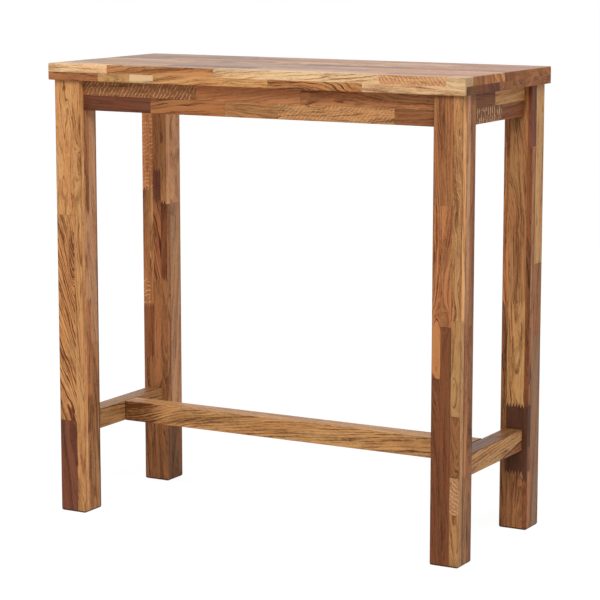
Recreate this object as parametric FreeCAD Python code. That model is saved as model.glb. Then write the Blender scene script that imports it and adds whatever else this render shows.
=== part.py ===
import FreeCAD, Part
import math
import os

# Bar table of glued-up hardwood staves.
# A two-layer top lies on four square legs and a frame of aprons.
# Side rails join the legs low down, and a long stretcher runs between the rails.
# X runs along the table, Y from front to back, Z up from the floor.
# The origin is on the floor under the middle of the table. Lengths are in millimetres.

# Driving dimensions of the whole table
table_height = 1100.0
top_length = 1100.0
top_width = 470.0
upper_layer_thickness = 20.0
lower_layer_thickness = 20.0
top_edge_round = 2.5
top_overhang = 11.0

# Legs
leg_side = 70.0
leg_edge_round = 1.5
foot_bevel = 2.5
bolt_flat_width = 16.0

# Aprons under the top
apron_height = 72.0
apron_thickness = 22.0
apron_setback = 20.0
apron_edge_round = 1.2

# Rails and stretcher near the floor
rail_height_above_floor = 195.0
rail_height = 50.0
side_rail_width = 45.0
stretcher_width = 50.0
rail_edge_round = 1.5

# Wooden dowels in every glued joint
dowel_diameter = 10.0
dowel_length = 40.0
dowel_end_bevel = 1.0
dowel_clearance = 0.1
dowel_end_space = 1.0
long_apron_dowel_shares = (0.16, 0.72)
side_apron_dowel_shares = (0.30, 0.86)
rail_dowel_shares = (0.28, 0.72)
stretcher_dowel_shares = (0.28, 0.72)

# Pressed steel corner brackets, hooked into a saw kerf in each apron
bracket_steel = 2.0
bracket_height = 50.0
bracket_wing = 28.0
bracket_lip = 8.0
bracket_leg_gap = 12.0
kerf_clearance = 0.2
kerf_end_space = 1.0

# Hanger bolt, washer and nut in each corner
bolt_diameter = 8.0
bolt_in_leg = 40.0
bolt_past_nut = 4.0
bolt_end_bevel = 0.8
bolt_clearance = 0.1
bracket_bolt_clearance = 0.4
washer_diameter = 18.0
washer_thickness = 1.6
nut_across_flats = 13.0
nut_thickness = 6.5

# Pan head screws that hold the brackets to the aprons
bracket_screw_diameter = 4.0
bracket_screw_head_diameter = 8.0
bracket_screw_head_height = 2.4
bracket_screw_bite_share = 0.65
bracket_screw_height_shares = (0.22, 0.78)

# Wooden cleats that hold the top down to the aprons, free to slide as the wood moves
cleat_length = 40.0
cleat_reach = 30.0
cleat_height = 20.0
cleat_tongue = 8.0
cleat_tongue_thickness = 8.0
cleat_face_gap = 0.5
cleat_slot_clearance = 0.3
cleat_slot_side_space = 2.0
cleat_slot_end_space = 1.5
long_apron_cleat_shares = (-0.32, 0.0, 0.32)
side_apron_cleat_shares = (0.0,)

# Screws that pull the cleats up against the top
cleat_screw_diameter = 4.5
cleat_screw_head_diameter = 9.0
cleat_screw_head_height = 2.8
cleat_screw_bite_share = 0.6

# Shared by both kinds of screw
screw_clearance = 0.1
screw_end_space = 0.8
screw_head_round_share = 0.45
recess_length_share = 0.55
recess_width_share = 0.13
recess_depth_share = 0.5

# One overrun serves all cuts, and edges are picked by their level and direction
overrun = 5.0
level_tolerance = 0.05
upright_share = 0.9

# Sizes that follow from the ones above
top_thickness = upper_layer_thickness + lower_layer_thickness
leg_top = table_height - top_thickness
layer_joint = table_height - upper_layer_thickness
apron_bottom = leg_top - apron_height
rail_bottom = rail_height_above_floor
rail_top = rail_bottom + rail_height
leg_centre_x = top_length / 2 - top_overhang - leg_side / 2
leg_centre_y = top_width / 2 - top_overhang - leg_side / 2
long_apron_half = leg_centre_x - leg_side / 2
side_apron_half = leg_centre_y - leg_side / 2
apron_outer_y = leg_centre_y + leg_side / 2 - apron_setback
apron_outer_x = leg_centre_x + leg_side / 2 - apron_setback
apron_inner_y = apron_outer_y - apron_thickness
apron_inner_x = apron_outer_x - apron_thickness
stretcher_half = leg_centre_x - side_rail_width / 2
dowel_half = dowel_length / 2
bracket_bottom = apron_bottom + (apron_height - bracket_height) / 2
bolt_height = bracket_bottom + bracket_height / 2
cleat_bottom = leg_top - cleat_height

# Corner sizes, measured from the middle of a leg towards the middle of the table
apron_face_in_corner = apron_setback + apron_thickness - leg_side / 2
bolt_flat_cut = bolt_flat_width / math.sqrt(2)
bolt_flat_distance = (leg_side - bolt_flat_cut) / math.sqrt(2)
bracket_distance = bolt_flat_distance + bracket_leg_gap
washer_distance = bracket_distance + bracket_steel
nut_distance = washer_distance + washer_thickness
bolt_start = bolt_flat_distance - bolt_in_leg
bolt_length = nut_distance + nut_thickness + bolt_past_nut - bolt_start
bracket_diagonal = bracket_distance * math.sqrt(2)
wing_start = bracket_diagonal - apron_face_in_corner
wing_end = wing_start + bracket_wing

# The four corners as signs along X and Y, with the names that the legs carry
corners = {
    "front_left": (-1, -1),
    "front_right": (1, -1),
    "back_left": (-1, 1),
    "back_right": (1, 1),
}
ends = {"left": -1, "right": 1}
faces = {"front": -1, "back": 1}


def block(x_low, x_high, y_low, y_high, z_low, z_high):
    """A rectangular block between two corners."""
    corner = FreeCAD.Vector(x_low, y_low, z_low)
    return Part.makeBox(x_high - x_low, y_high - y_low, z_high - z_low, corner)


def prism(points, rise):
    """A flat outline pushed along the vector rise."""
    outline = Part.makePolygon(points + [points[0]])
    return Part.Face(outline).extrude(rise)


def rod(radius, start, direction, length):
    """A round bar from start along direction."""
    return Part.makeCylinder(radius, length, start, direction)


def upright(edge):
    """True for an edge that runs along Z."""
    return abs(edge.tangentAt(edge.FirstParameter).z) > upright_share


def level_at(edge, height):
    """True for an edge that lies flat at a height."""
    gap_low = abs(edge.BoundBox.ZMin - height)
    gap_high = abs(edge.BoundBox.ZMax - height)
    return max(gap_low, gap_high) < level_tolerance


def in_corner(corner, along_x, along_y, height):
    """A point given from the middle of a leg towards the middle of the table."""
    sign_x, sign_y = corner
    x = sign_x * (leg_centre_x - along_x)
    y = sign_y * (leg_centre_y - along_y)
    return FreeCAD.Vector(x, y, height)


def corner_direction(corner):
    """The level direction from a leg's middle towards the table's middle, at 45 degrees."""
    sign_x, sign_y = corner
    return FreeCAD.Vector(-sign_x, -sign_y, 0).normalize()


def on_diagonal(corner, distance, height):
    """A point at a distance from the leg's middle on the corner's diagonal."""
    return in_corner(corner, distance / math.sqrt(2), distance / math.sqrt(2), height)


def pan_head_screw(head_seat, direction, diameter, length, head_diameter, head_height):
    """A screw whose head lies on head_seat and whose shank runs along direction."""
    shank = rod(diameter / 2, head_seat, direction, length)
    shank = shank.makeChamfer(diameter / 4, [end_circle(shank, head_seat, direction, length)])
    back = FreeCAD.Vector(direction).multiply(-1)
    head = rod(head_diameter / 2, head_seat, back, head_height)
    rim = end_circle(head, head_seat, back, head_height)
    head = head.makeFillet(head_height * screw_head_round_share, [rim])
    screw = shank.fuse(head)
    for turn in (0, 90):
        arm = block(
            -head_diameter * recess_length_share / 2,
            head_diameter * recess_length_share / 2,
            -head_diameter * recess_width_share / 2,
            head_diameter * recess_width_share / 2,
            head_height * (1 - recess_depth_share),
            head_height + overrun,
        )
        arm.rotate(FreeCAD.Vector(0, 0, 0), FreeCAD.Vector(0, 0, 1), turn)
        arm.Placement = FreeCAD.Placement(
            head_seat, FreeCAD.Rotation(FreeCAD.Vector(0, 0, 1), back)
        ).multiply(arm.Placement)
        screw = screw.cut(arm)
    return screw.removeSplitter()


def end_circle(round_bar, start, direction, length):
    """The round edge at the far end of a bar."""
    tip = start + FreeCAD.Vector(direction).multiply(length)
    circles = [edge for edge in round_bar.Edges if isinstance(edge.Curve, Part.Circle)]
    return min(circles, key=lambda edge: edge.Curve.Center.distanceToPoint(tip))


# Places of the dowels: the point in the joint and the direction that the dowel runs

def apron_dowel_places():
    """Two dowels at each end of each apron."""
    places = []
    middle = apron_face_in_corner - apron_thickness / 2
    for corner in corners.values():
        sign_x, sign_y = corner
        for share in long_apron_dowel_shares:
            point = in_corner(corner, leg_side / 2, middle, apron_bottom + apron_height * share)
            places.append((point, FreeCAD.Vector(-sign_x, 0, 0)))
        for share in side_apron_dowel_shares:
            point = in_corner(corner, middle, leg_side / 2, apron_bottom + apron_height * share)
            places.append((point, FreeCAD.Vector(0, -sign_y, 0)))
    return places


def rail_dowel_places():
    """Two dowels, one above the other, at each end of each side rail."""
    places = []
    for corner in corners.values():
        for share in rail_dowel_shares:
            point = in_corner(corner, 0, leg_side / 2, rail_bottom + rail_height * share)
            places.append((point, FreeCAD.Vector(0, -corner[1], 0)))
    return places


def stretcher_dowel_places():
    """Two dowels, side by side, at each end of the stretcher."""
    places = []
    for sign in ends.values():
        for share in stretcher_dowel_shares:
            y = stretcher_width * (share - 1 / 2)
            point = FreeCAD.Vector(sign * stretcher_half, y, rail_bottom + rail_height / 2)
            places.append((point, FreeCAD.Vector(-sign, 0, 0)))
    return places


def dowel(point, direction):
    """A dowel centred on the joint, with both ends bevelled."""
    start = point - FreeCAD.Vector(direction).multiply(dowel_half)
    bar = rod(dowel_diameter / 2, start, direction, dowel_length)
    rims = [edge for edge in bar.Edges if isinstance(edge.Curve, Part.Circle)]
    return bar.makeChamfer(dowel_end_bevel, rims)


def dowel_hole(point, direction):
    """The two facing holes of one dowel, as one round bar to cut with."""
    half = dowel_half + dowel_end_space
    start = point - FreeCAD.Vector(direction).multiply(half)
    return rod(dowel_diameter / 2 + dowel_clearance, start, direction, half * 2)


def drill_dowels(piece, places):
    """The piece with the holes of the dowels that reach it."""
    for point, direction in places:
        piece = piece.cut(dowel_hole(point, direction))
    return piece


# Places of the bracket screws: the point on the apron's inner face and the way in

def bracket_screw_places():
    """Two screws in each wing of each bracket."""
    places = []
    middle = wing_start + bracket_wing / 2
    for corner in corners.values():
        sign_x, sign_y = corner
        for share in bracket_screw_height_shares:
            height = bracket_bottom + bracket_height * share
            on_long = in_corner(corner, middle, apron_face_in_corner, height)
            places.append((on_long, FreeCAD.Vector(0, sign_y, 0)))
            on_side = in_corner(corner, apron_face_in_corner, middle, height)
            places.append((on_side, FreeCAD.Vector(sign_x, 0, 0)))
    return places


def bracket_screw_bite():
    """How deep a bracket screw runs into its apron."""
    return apron_thickness * bracket_screw_bite_share


# Places of the cleats: the point on the apron's inner face at the cleat's middle,
# the way along the apron and the way towards the middle of the table

def cleat_places():
    """Cleats along the inner faces of the four aprons."""
    places = []
    for sign in faces.values():
        for share in long_apron_cleat_shares:
            point = FreeCAD.Vector(share * long_apron_half * 2, sign * apron_inner_y, 0)
            places.append((point, FreeCAD.Vector(1, 0, 0), FreeCAD.Vector(0, -sign, 0)))
    for sign in ends.values():
        for share in side_apron_cleat_shares:
            point = FreeCAD.Vector(sign * apron_inner_x, share * side_apron_half * 2, 0)
            places.append((point, FreeCAD.Vector(0, 1, 0), FreeCAD.Vector(-sign, 0, 0)))
    return places


def cleat_solid(place, outline, half_length):
    """An outline in reach and height, pushed along the apron to both sides of a place."""
    point, along, inward = place
    start = point - FreeCAD.Vector(along).multiply(half_length)
    corners_of_outline = []
    for reach, height in outline:
        corner = start + FreeCAD.Vector(inward).multiply(reach)
        corners_of_outline.append(corner + FreeCAD.Vector(0, 0, height))
    return prism(corners_of_outline, FreeCAD.Vector(along).multiply(half_length * 2))


def cleat_slot(place):
    """The mortise in the apron that the cleat's tongue slides in."""
    low = cleat_bottom - cleat_slot_clearance
    high = cleat_bottom + cleat_tongue_thickness + cleat_slot_clearance
    deep = -(cleat_tongue + cleat_slot_end_space)
    outline = [(deep, low), (overrun, low), (overrun, high), (deep, high)]
    return cleat_solid(place, outline, cleat_length / 2 + cleat_slot_side_space)


def cleat_screw_point(place):
    """The middle of the cleat's underside, where its screw head rests."""
    point, along, inward = place
    reach = (cleat_face_gap + cleat_reach) / 2
    return point + FreeCAD.Vector(inward).multiply(reach) + FreeCAD.Vector(0, 0, cleat_bottom)


def cleat_screw_bite():
    """How deep a cleat screw runs into the lower layer of the top."""
    return lower_layer_thickness * cleat_screw_bite_share


def make_upper_layer():
    """The upper layer of the top, rounded at its upper arrises and corners."""
    board = block(
        -top_length / 2, top_length / 2, -top_width / 2, top_width / 2, layer_joint, table_height
    )
    eased = [edge for edge in board.Edges if upright(edge) or level_at(edge, table_height)]
    return board.makeFillet(top_edge_round, eased)


def make_lower_layer():
    """The lower layer of the top, with pilot holes for the cleat screws."""
    board = block(
        -top_length / 2, top_length / 2, -top_width / 2, top_width / 2, leg_top, layer_joint
    )
    eased = [edge for edge in board.Edges if upright(edge) or level_at(edge, leg_top)]
    board = board.makeFillet(top_edge_round, eased)
    radius = cleat_screw_diameter / 2 + screw_clearance
    for place in cleat_places():
        start = cleat_screw_point(place)
        depth = cleat_height + cleat_screw_bite() + screw_end_space
        board = board.cut(rod(radius, start, FreeCAD.Vector(0, 0, 1), depth))
    return board


def foot_cuts(corner):
    """Four wedges that bevel the arrises of a leg's foot."""
    half = leg_side / 2
    past = half + overrun
    wedges = []
    for sign in (-1, 1):
        for turned in (False, True):
            outline = []
            for out, height in ((half - foot_bevel, 0), (past, foot_bevel + overrun), (past, 0)):
                level = (sign * out, -past)
                if turned:
                    level = (-past, sign * out)
                outline.append(in_corner(corner, level[0], level[1], height))
            sweep = (0, past * 2)
            if turned:
                sweep = (past * 2, 0)
            rise = FreeCAD.Vector(-corner[0] * sweep[0], -corner[1] * sweep[1], 0)
            wedges.append(prism(outline, rise))
    return wedges


def make_leg(corner):
    """A leg, with its bolt flat, bolt hole and dowel holes."""
    half = leg_side / 2
    low = in_corner(corner, -half, -half, 0)
    high = in_corner(corner, half, half, leg_top)
    leg = block(
        min(low.x, high.x), max(low.x, high.x), min(low.y, high.y), max(low.y, high.y), 0, leg_top
    )
    leg = leg.makeFillet(leg_edge_round, [edge for edge in leg.Edges if upright(edge)])
    for wedge in foot_cuts(corner):
        leg = leg.cut(wedge)
    flat = [
        in_corner(corner, half - bolt_flat_cut - overrun, half + overrun, apron_bottom),
        in_corner(corner, half + overrun, half - bolt_flat_cut - overrun, apron_bottom),
        in_corner(corner, half + overrun, half + overrun, apron_bottom),
    ]
    leg = leg.cut(prism(flat, FreeCAD.Vector(0, 0, apron_height + overrun)))
    start = on_diagonal(corner, bolt_start - screw_end_space, bolt_height)
    depth = bolt_in_leg + screw_end_space + overrun
    radius = bolt_diameter / 2 + bolt_clearance
    leg = leg.cut(rod(radius, start, corner_direction(corner), depth))
    return drill_dowels(leg, apron_dowel_places() + rail_dowel_places())


def finish_apron(apron):
    """An apron with its kerfs, slots, screw holes and dowel holes."""
    eased = [edge for edge in apron.Edges if level_at(edge, apron_bottom) and is_long(edge)]
    apron = apron.makeFillet(apron_edge_round, eased)
    for kerf in bracket_kerfs():
        apron = apron.cut(kerf)
    for place in cleat_places():
        apron = apron.cut(cleat_slot(place))
    radius = bracket_screw_diameter / 2 + screw_clearance
    for point, direction in bracket_screw_places():
        apron = apron.cut(rod(radius, point, direction, bracket_screw_bite() + screw_end_space))
    return drill_dowels(apron, apron_dowel_places())


def is_long(edge):
    """True for an edge that is longer than a leg is wide."""
    return edge.Length > leg_side


def bracket_kerfs():
    """The saw kerfs in the aprons that the bracket lips hook into."""
    kerfs = []
    face = apron_face_in_corner
    deep = face - bracket_lip - kerf_end_space
    near = wing_end - kerf_clearance
    far = wing_end + bracket_steel + kerf_clearance
    rise = FreeCAD.Vector(0, 0, apron_height + overrun * 2)
    height = apron_bottom - overrun
    for corner in corners.values():
        outline = ((near, deep), (far, deep), (far, face + overrun), (near, face + overrun))
        kerfs.append(prism([in_corner(corner, u, v, height) for u, v in outline], rise))
        kerfs.append(prism([in_corner(corner, v, u, height) for u, v in outline], rise))
    return kerfs


def make_long_apron(sign):
    """The front or back apron, between two legs."""
    low = min(sign * apron_outer_y, sign * apron_inner_y)
    high = max(sign * apron_outer_y, sign * apron_inner_y)
    return finish_apron(
        block(-long_apron_half, long_apron_half, low, high, apron_bottom, leg_top)
    )


def make_side_apron(sign):
    """The left or right apron, between two legs."""
    low = min(sign * apron_outer_x, sign * apron_inner_x)
    high = max(sign * apron_outer_x, sign * apron_inner_x)
    return finish_apron(
        block(low, high, -side_apron_half, side_apron_half, apron_bottom, leg_top)
    )


def make_side_rail(sign):
    """The left or right rail, between two legs, drilled for the stretcher too."""
    middle = sign * leg_centre_x
    half = side_rail_width / 2
    rail = block(middle - half, middle + half, -side_apron_half, side_apron_half,
                 rail_bottom, rail_top)
    rail = rail.makeFillet(rail_edge_round, [edge for edge in rail.Edges if is_long(edge)])
    return drill_dowels(rail, rail_dowel_places() + stretcher_dowel_places())


def make_stretcher():
    """The long stretcher between the two side rails."""
    half = stretcher_width / 2
    bar = block(-stretcher_half, stretcher_half, -half, half, rail_bottom, rail_top)
    bar = bar.makeFillet(rail_edge_round, [edge for edge in bar.Edges if is_long(edge)])
    return drill_dowels(bar, stretcher_dowel_places())


def bracket_outline():
    """The bracket seen from above: lip, wing, diagonal plate, wing and lip."""
    face = apron_face_in_corner
    plate_back = bracket_diagonal + bracket_steel * math.sqrt(2)
    half = [
        (wing_end, face),
        (wing_end, face - bracket_lip),
        (wing_end + bracket_steel, face - bracket_lip),
        (wing_end + bracket_steel, face + bracket_steel),
        (plate_back - face - bracket_steel, face + bracket_steel),
    ]
    other_half = [(v, u) for u, v in reversed(half)]
    return half + other_half + [(face, wing_start), (wing_start, face)]


def make_bracket(corner):
    """A pressed bracket with its bolt hole and screw holes."""
    outline = [in_corner(corner, u, v, bracket_bottom) for u, v in bracket_outline()]
    bracket = prism(outline, FreeCAD.Vector(0, 0, bracket_height))
    start = on_diagonal(corner, bracket_distance - overrun, bolt_height)
    radius = bolt_diameter / 2 + bracket_bolt_clearance
    through = bracket_steel + overrun * 2
    bracket = bracket.cut(rod(radius, start, corner_direction(corner), through))
    radius = bracket_screw_diameter / 2 + screw_clearance
    for point, direction in bracket_screw_places():
        start = point - FreeCAD.Vector(direction).multiply(bracket_steel)
        bracket = bracket.cut(rod(radius, start, direction, bracket_steel))
    return bracket


def make_hanger_bolts():
    """One bolt in each leg, on the corner's diagonal."""
    bolts = []
    for corner in corners.values():
        direction = corner_direction(corner)
        start = on_diagonal(corner, bolt_start, bolt_height)
        bolt = rod(bolt_diameter / 2, start, direction, bolt_length)
        rims = [edge for edge in bolt.Edges if isinstance(edge.Curve, Part.Circle)]
        bolts.append(bolt.makeChamfer(bolt_end_bevel, rims))
    return Part.makeCompound(bolts)


def make_washers():
    """One washer on each bracket."""
    washers = []
    for corner in corners.values():
        direction = corner_direction(corner)
        start = on_diagonal(corner, washer_distance, bolt_height)
        disc = rod(washer_diameter / 2, start, direction, washer_thickness)
        hole = rod(bolt_diameter / 2 + bolt_clearance, start, direction, washer_thickness)
        washers.append(disc.cut(hole))
    return Part.makeCompound(washers)


def make_nuts():
    """One hexagon nut on each washer."""
    nuts = []
    radius = nut_across_flats / math.sqrt(3)
    for corner in corners.values():
        direction = corner_direction(corner)
        across = FreeCAD.Vector(-direction.y, direction.x, 0)
        start = on_diagonal(corner, nut_distance, bolt_height)
        points = []
        for step in range(6):
            angle = math.radians(60 * step)
            out = FreeCAD.Vector(across).multiply(radius * math.cos(angle))
            points.append(start + out + FreeCAD.Vector(0, 0, radius * math.sin(angle)))
        body = prism(points, FreeCAD.Vector(direction).multiply(nut_thickness))
        hole = rod(bolt_diameter / 2 + bolt_clearance, start, direction, nut_thickness)
        nuts.append(body.cut(hole))
    return Part.makeCompound(nuts)


def make_bracket_screws():
    """The screws of all four brackets."""
    screws = []
    length = bracket_steel + bracket_screw_bite()
    for point, direction in bracket_screw_places():
        seat = point - FreeCAD.Vector(direction).multiply(bracket_steel)
        screws.append(pan_head_screw(
            seat, direction, bracket_screw_diameter, length,
            bracket_screw_head_diameter, bracket_screw_head_height
        ))
    return Part.makeCompound(screws)


def make_dowels(places):
    """A group of dowels."""
    return Part.makeCompound([dowel(point, direction) for point, direction in places])


def make_cleats():
    """The wooden cleats, each with a tongue in its apron and a screw hole."""
    low = cleat_bottom
    shoulder = cleat_bottom + cleat_tongue_thickness
    outline = [
        (-cleat_tongue, low), (cleat_reach, low), (cleat_reach, leg_top),
        (cleat_face_gap, leg_top), (cleat_face_gap, shoulder), (-cleat_tongue, shoulder),
    ]
    radius = cleat_screw_diameter / 2 + screw_clearance
    cleats = []
    for place in cleat_places():
        cleat = cleat_solid(place, outline, cleat_length / 2)
        hole = rod(radius, cleat_screw_point(place), FreeCAD.Vector(0, 0, 1), cleat_height)
        cleats.append(cleat.cut(hole))
    return Part.makeCompound(cleats)


def make_cleat_screws():
    """One screw up through each cleat into the top."""
    screws = []
    for place in cleat_places():
        screws.append(pan_head_screw(
            cleat_screw_point(place), FreeCAD.Vector(0, 0, 1), cleat_screw_diameter,
            cleat_height + cleat_screw_bite(), cleat_screw_head_diameter, cleat_screw_head_height
        ))
    return Part.makeCompound(screws)


def table_pieces():
    """Every piece of the table by its name."""
    pieces = {
        "top_upper_layer": make_upper_layer(),
        "top_lower_layer": make_lower_layer(),
    }
    for name, corner in corners.items():
        pieces["leg_" + name] = make_leg(corner)
        pieces["corner_bracket_" + name] = make_bracket(corner)
    for name, sign in faces.items():
        pieces["apron_" + name] = make_long_apron(sign)
    for name, sign in ends.items():
        pieces["apron_" + name] = make_side_apron(sign)
        pieces["side_rail_" + name] = make_side_rail(sign)
    pieces["long_stretcher"] = make_stretcher()
    pieces["apron_dowels"] = make_dowels(apron_dowel_places())
    pieces["rail_dowels"] = make_dowels(rail_dowel_places())
    pieces["stretcher_dowels"] = make_dowels(stretcher_dowel_places())
    pieces["hanger_bolts"] = make_hanger_bolts()
    pieces["bolt_washers"] = make_washers()
    pieces["bolt_nuts"] = make_nuts()
    pieces["bracket_screws"] = make_bracket_screws()
    pieces["top_cleats"] = make_cleats()
    pieces["cleat_screws"] = make_cleat_screws()
    return pieces


os.makedirs("parts", exist_ok=True)
for node, shape in table_pieces().items():
    shape.exportStep("parts/" + node + ".step")
    print(node, "solids", len(shape.Solids), "valid", shape.isValid(), "cm3",
          round(shape.Volume / 1000, 2))
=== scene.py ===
# %% [markdown]
# # A bar table of glued-up hardwood
#
# The real table is tall and slim. Its top is two layers of boards, glued face to face.
# Four square legs, four aprons, two side rails and one long stretcher carry it.
# Every piece is glued up from short boards of many tones, and then oiled.
# The shapes are simple, so most of the work here goes into the wood itself.

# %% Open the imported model
import bpy
import bmesh
import math
import random
from types import SimpleNamespace
from mathutils import Matrix, Vector


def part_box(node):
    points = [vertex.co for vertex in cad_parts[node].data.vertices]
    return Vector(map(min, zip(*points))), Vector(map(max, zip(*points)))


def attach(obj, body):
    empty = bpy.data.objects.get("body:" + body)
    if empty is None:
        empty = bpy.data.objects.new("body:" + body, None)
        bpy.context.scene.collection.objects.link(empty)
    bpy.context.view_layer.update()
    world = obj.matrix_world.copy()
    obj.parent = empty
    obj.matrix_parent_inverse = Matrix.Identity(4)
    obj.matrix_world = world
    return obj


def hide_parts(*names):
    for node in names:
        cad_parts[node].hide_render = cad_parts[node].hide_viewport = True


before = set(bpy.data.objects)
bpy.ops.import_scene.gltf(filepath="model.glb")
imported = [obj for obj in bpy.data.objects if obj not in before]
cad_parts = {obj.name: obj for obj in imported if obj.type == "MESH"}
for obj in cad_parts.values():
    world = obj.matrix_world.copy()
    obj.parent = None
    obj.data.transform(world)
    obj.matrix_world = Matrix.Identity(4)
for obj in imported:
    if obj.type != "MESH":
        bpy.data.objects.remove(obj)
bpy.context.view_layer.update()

# %% [markdown]
# ## The camera
#
# A product photographer stands well back and uses a long lens, so that a tall table keeps
# straight legs. The camera stands to the right of the table's front and a little above its top.
# Blender turns a camera from looking straight down, so looking level is a turn of 90 degrees.

# %% Place the camera
camera_place = Vector((2.6623, -4.7379, 1.4311))
camera_side_turn = math.radians(29.25)
camera_tilt_down = math.radians(9.35)
film_width = 36
focal_length = 137.6

lens = bpy.data.cameras.new("table_camera")
lens.sensor_width = film_width
lens.lens = focal_length
camera = bpy.data.objects.new("table_camera", lens)
camera.location = camera_place
camera.rotation_euler = (math.radians(90) - camera_tilt_down, 0, camera_side_turn)
bpy.context.scene.collection.objects.link(camera)
bpy.context.scene.camera = camera
print("camera", round(camera_place.length, 2), "m from the table's foot, lens", lens.lens, "mm")

# %% [markdown]
# ## Numbers, colours and nodes
#
# A finish is a network of shader nodes. Wiring it by hand takes many lines, which hide the idea.
# The class below wraps one wire, so that adding two wires adds the Math node for it.
# Then the growth rings of a board can be written as the formula that they are.

# %% A wire that can be calculated with
def maths(operation, turned_round=False):
    """A method that adds one Math node to the wire, with the other number second or first."""
    def method(wire, other=0.0):
        first, second = (other, wire) if turned_round else (wire, other)
        return wire.network.node(
            "ShaderNodeMath", {"operation": operation}, {0: first, 1: second})
    return method


class Wire:
    """A number on its way through a network of nodes."""

    def __init__(self, network, socket):
        self.network = network
        self.socket = socket

    __add__ = __radd__ = maths("ADD")
    __mul__ = __rmul__ = maths("MULTIPLY")
    __sub__, __rsub__ = maths("SUBTRACT"), maths("SUBTRACT", turned_round=True)
    __truediv__, __rtruediv__ = maths("DIVIDE"), maths("DIVIDE", turned_round=True)
    __gt__, __lt__ = maths("GREATER_THAN"), maths("LESS_THAN")
    lowest, highest = maths("MINIMUM"), maths("MAXIMUM")
    __abs__, square_root = maths("ABSOLUTE"), maths("SQRT")
    round_down, remainder = maths("FLOOR"), maths("FRACT")

    def rise(self, start, end, low=0.0, high=1.0):
        """A soft step from low to high while the number goes from start to end."""
        return self.network.node(
            "ShaderNodeMapRange",
            {"interpolation_type": "SMOOTHSTEP", "clamp": True},
            {"Value": self, "From Min": start, "From Max": end, "To Min": low, "To Max": high})


# %% A network that nodes are added to
class Network:
    """A material, or the air around the table, and the nodes that make it."""

    def __init__(self, owner):
        self.owner = owner
        self.owner.use_nodes = True
        self.tree = self.owner.node_tree
        self.tree.nodes.clear()

    def node(self, kind, settings=None, values=None, out=0):
        """Add one node: its settings first, then the numbers or wires of its sockets.

        The socket named by out comes back as a wire, and a tuple of sockets as a list of wires.
        """
        node = self.tree.nodes.new(kind)
        for name, setting in (settings or {}).items():
            if name == "stops":
                self.set_stops(node.color_ramp, setting)
            elif name == "stepped":
                node.color_ramp.interpolation = "CONSTANT"
            else:
                setattr(node, name, setting)
        for name, value in (values or {}).items():
            socket = self.socket(node.inputs, name)
            if isinstance(value, Wire):
                self.tree.links.new(value.socket, socket)
            else:
                socket.default_value = value
        if not node.outputs:
            return None
        if isinstance(out, tuple):
            return [Wire(self, self.socket(node.outputs, one)) for one in out]
        return Wire(self, self.socket(node.outputs, out))

    @staticmethod
    def socket(sockets, name):
        """A socket by its number, or by its name among those that the settings leave in use."""
        if isinstance(name, int):
            return sockets[name]
        return next(one for one in sockets if one.name == name and one.enabled)

    @staticmethod
    def set_stops(ramp, stops):
        while len(ramp.elements) > 1:
            ramp.elements.remove(ramp.elements[-1])
        ramp.elements[0].position = stops[0][0]
        ramp.elements[0].color = stops[0][1]
        for place, colour in stops[1:]:
            ramp.elements.new(place).color = colour


# %% Plain names for the nodes of a finish
mm = 1000.0


def srgb(red, green, blue):
    """A colour as a painter's chart gives it, from 0 to 255, made linear for the shader."""
    def linear(part):
        part = part / 255
        return part / 12.92 if part <= 0.04045 else ((part + 0.055) / 1.055) ** 2.4
    return (linear(red), linear(green), linear(blue), 1.0)


class Finish(Network):
    """A network, with names for what every finish here is made of."""

    def vector(self, x, y, z):
        return self.node("ShaderNodeCombineXYZ", None, {0: x, 1: y, 2: z})

    def grey(self, level):
        """A colour whose three parts are one number."""
        return self.vector(level, level, level)

    def parts(self, vector):
        """The three numbers of a vector."""
        return self.node("ShaderNodeSeparateXYZ", None, {0: vector}, (0, 1, 2))

    def place(self):
        """Where a point is on the table, in millimetres."""
        there = self.parts(self.node("ShaderNodeTexCoord", None, None, "Object"))
        return [part * mm for part in there]

    def facing(self):
        """The way that a face looks: along each axis, from -1 to 1."""
        return self.parts(self.node("ShaderNodeTexCoord", None, None, "Normal"))

    def noise(self, place, size, detail=2.0, roughness=0.5):
        """Soft noise from 0 to 1, whose patches have a size along each part of the place."""
        shrunk = self.vector(*[part / length for part, length in zip(place, size)])
        return self.node(
            "ShaderNodeTexNoise", {"noise_dimensions": "3D"},
            {"Vector": shrunk, "Scale": 1.0, "Detail": detail, "Roughness": roughness})

    def blend(self, share, first, second, mode="MIX"):
        """A colour between two others."""
        return self.node(
            "ShaderNodeMix", {"data_type": "RGBA", "blend_type": mode, "clamp_factor": True},
            {"Factor": share, "A": first, "B": second}, "Result")

    def bump(self, height, distance, strength):
        """A normal bent by a height, where a height of 1 stands for a distance in metres."""
        return self.node(
            "ShaderNodeBump", None,
            {"Strength": strength, "Distance": distance, "Height": height})

    def surface(self, **sockets):
        """Close the finish with one shader."""
        values = {name.replace("_", " "): value for name, value in sockets.items()}
        shader = self.node("ShaderNodeBsdfPrincipled", None, values)
        self.node("ShaderNodeOutputMaterial", None, {"Surface": shader})
        return self.owner


print("nodes ready")

# %% [markdown]
# ## The studio
#
# Shop photographs show a table cut out on white, with flat light and hardly a shadow.
# The floor here is large and pale, and the camera sees it as almost white paper.
# It still catches a faint shadow, so the legs stand on something.
# One broad lamp, high in front of the table, makes the front faces bright and leaves the right
# faces darker. Even light from all around fills the rest.

# %% Tell seeing rays from lighting rays
def seen_directly(network):
    """1 where the camera, a reflection or a clear piece looks, and 0 where light bounces."""
    rays = [network.node("ShaderNodeLightPath", None, None, kind)
            for kind in ("Is Camera Ray", "Is Glossy Ray", "Is Transmission Ray")]
    return rays[0].highest(rays[1]).highest(rays[2])


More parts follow.
